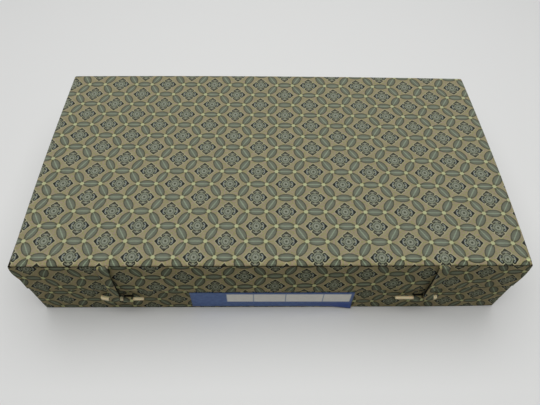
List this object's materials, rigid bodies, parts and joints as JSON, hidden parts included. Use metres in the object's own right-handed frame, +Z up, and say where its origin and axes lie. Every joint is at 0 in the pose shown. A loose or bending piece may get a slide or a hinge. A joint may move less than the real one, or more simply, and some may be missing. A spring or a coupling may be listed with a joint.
{
  "type": "fleet guessing game case",
  "caption": "Flat brocade-covered clamshell game case with cloth hinge, strap-and-bone-peg closures, peg-hole grid boards, ship rack and marker pegs inside.",
  "frame": {"origin": "middle of the tray's base, on the surface that the case stands on", "axes": "+X along the case's length, +Y towards the hinge, +Z up; straps face -Y"},
  "size_m": [0.422, 0.237, 0.083],
  "materials": {
    "brocade": "woven silk brocade, low sheen",
    "board": "grey-brown thick board",
    "base_paper": "dark plain paper",
    "lining": "plain satin",
    "wadding": "thin cotton wadding",
    "strap_cloth": "folded brocade strip",
    "bone": null,
    "label_paper": "printed paper, plain",
    "grid_wood": "satin lacquered wood",
    "rack_wood": "oiled wood",
    "ship_paint": "painted wood",
    "peg_white": "white marker pegs",
    "peg_red": "red marker pegs"
  },
  "bodies": {
    "case_tray": {"tray_base_paper": "base_paper", "tray_floor_board": "board", "tray_front_board": "board", "tray_back_board": "board", "tray_left_board": "board", "tray_right_board": "board", "tray_cover": "brocade", "tray_floor_lining": "lining", "tray_wall_lining": "lining", "hinge_cloth_tray": "brocade", "loop_left": "strap_cloth", "loop_right": "strap_cloth", "label": "label_paper", "ocean_grid_board": "grid_wood", "bearer_left": "rack_wood", "bearer_right": "rack_wood", "storage_divider": "rack_wood", "ship_rack": "rack_wood", "peg_rack": "rack_wood", "pegs_white": "peg_white", "pegs_red": "peg_red"},
    "case_lid": {"lid_front_board": "board", "lid_back_board": "board", "lid_left_board": "board", "lid_right_board": "board", "lid_top_board": "board", "lid_wadding": "wadding", "lid_side_cover": "brocade", "lid_top_cover": "brocade", "lid_lining": "lining", "hinge_cloth_lid": "brocade", "target_grid_board": "grid_wood"},
    "strap_left": {"strap_left": "strap_cloth"},
    "peg_left": {"peg_left": "bone"},
    "strap_right": {"strap_right": "strap_cloth"},
    "peg_right": {"peg_right": "bone"},
    "ship_destroyer": {"ship_destroyer": "ship_paint"},
    "ship_submarine": {"ship_submarine": "ship_paint"},
    "ship_cruiser": {"ship_cruiser": "ship_paint"},
    "ship_battleship": {"ship_battleship": "ship_paint"},
    "ship_carrier": {"ship_carrier": "ship_paint"}
  },
  "joints": [
    {"name": "lid_hinge", "type": "hinge", "parent": "case_tray", "child": "case_lid", "pos_m": [0, 0.1152, 0.0432], "axis": [-1, 0, 0], "range_deg": [0, 180]},
    {"name": "strap_left_swing", "type": "hinge", "parent": "case_lid", "child": "strap_left", "pos_m": [-0.139, -0.1152, 0.0808], "axis": [-1, 0, 0], "range_deg": [0, 100]},
    {"name": "peg_left_slide", "type": "slide", "parent": "strap_left", "child": "peg_left", "axis": [-1, 0, 0], "range_m": [0, 0.02], "deforming": ["loop_left"]},
    {"name": "strap_right_swing", "type": "hinge", "parent": "case_lid", "child": "strap_right", "pos_m": [0.139, -0.1152, 0.0808], "axis": [-1, 0, 0], "range_deg": [0, 100]},
    {"name": "peg_right_slide", "type": "slide", "parent": "strap_right", "child": "peg_right", "axis": [1, 0, 0], "range_m": [0, 0.025], "deforming": ["loop_right"]},
    {"name": "ship_destroyer_lift", "type": "slide", "parent": "case_tray", "child": "ship_destroyer", "axis": [0, 0, 1], "range_m": [0, 0.03]},
    {"name": "ship_submarine_lift", "type": "slide", "parent": "case_tray", "child": "ship_submarine", "axis": [0, 0, 1], "range_m": [0, 0.03]},
    {"name": "ship_cruiser_lift", "type": "slide", "parent": "case_tray", "child": "ship_cruiser", "axis": [0, 0, 1], "range_m": [0, 0.03]},
    {"name": "ship_battleship_lift", "type": "slide", "parent": "case_tray", "child": "ship_battleship", "axis": [0, 0, 1], "range_m": [0, 0.03]},
    {"name": "ship_carrier_lift", "type": "slide", "parent": "case_tray", "child": "ship_carrier", "axis": [0, 0, 1], "range_m": [0, 0.03]}
  ]
}
